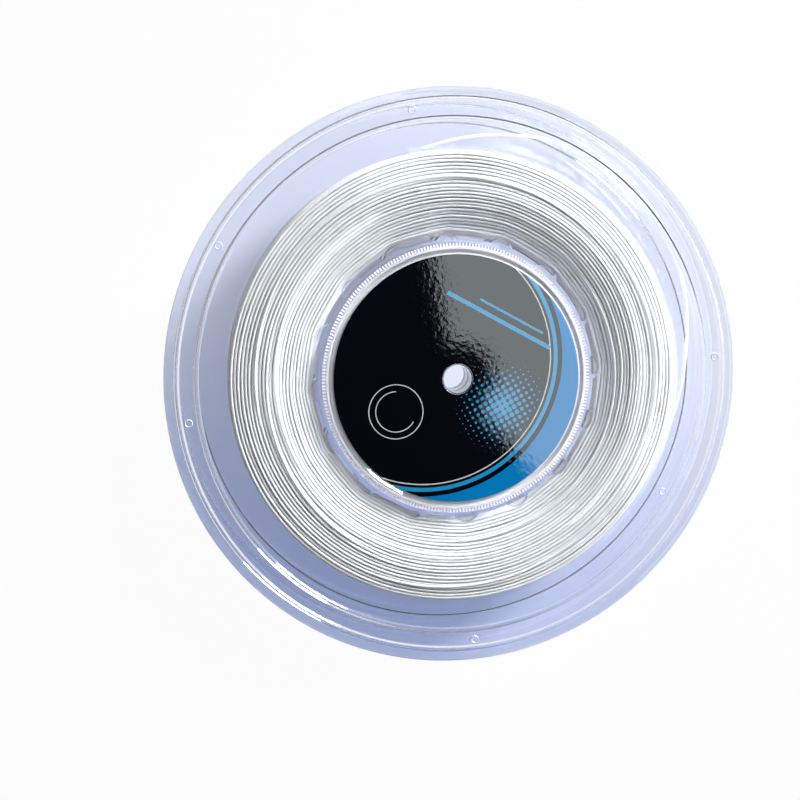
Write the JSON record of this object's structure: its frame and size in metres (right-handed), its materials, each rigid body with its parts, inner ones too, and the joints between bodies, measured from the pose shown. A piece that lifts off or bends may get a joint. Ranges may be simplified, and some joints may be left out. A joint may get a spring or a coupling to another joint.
{
  "type": "racket string reel",
  "caption": "Clear two-flange reel on a ribbed drum, full of white racket string, with round glossy labels, a spindle bore and a loose string end.",
  "frame": {"origin": "on the spindle axis, in the plane of the rear flange's rim, which the reel lies on", "axes": "+Z along the spindle axis, out of the front label; +X to the right and +Y up when the front label is looked at"},
  "size_m": [0.25, 0.25, 0.0268],
  "materials": {
    "clear_plastic": "clear moulded plastic with a faint lavender tint, polished",
    "drum_plastic": "clear moulded plastic, polished",
    "label": "glossy laminated print, black with azure",
    "string": "smooth white monofilament, satin gloss"
  },
  "bodies": {
    "root": {"front_flange": "clear_plastic", "rear_flange": "clear_plastic", "hub_drum": "drum_plastic", "front_label": "label", "rear_label": "label", "string_core": "string", "string_turns": "string", "string_tail": "string"}
  },
  "joints": []
}
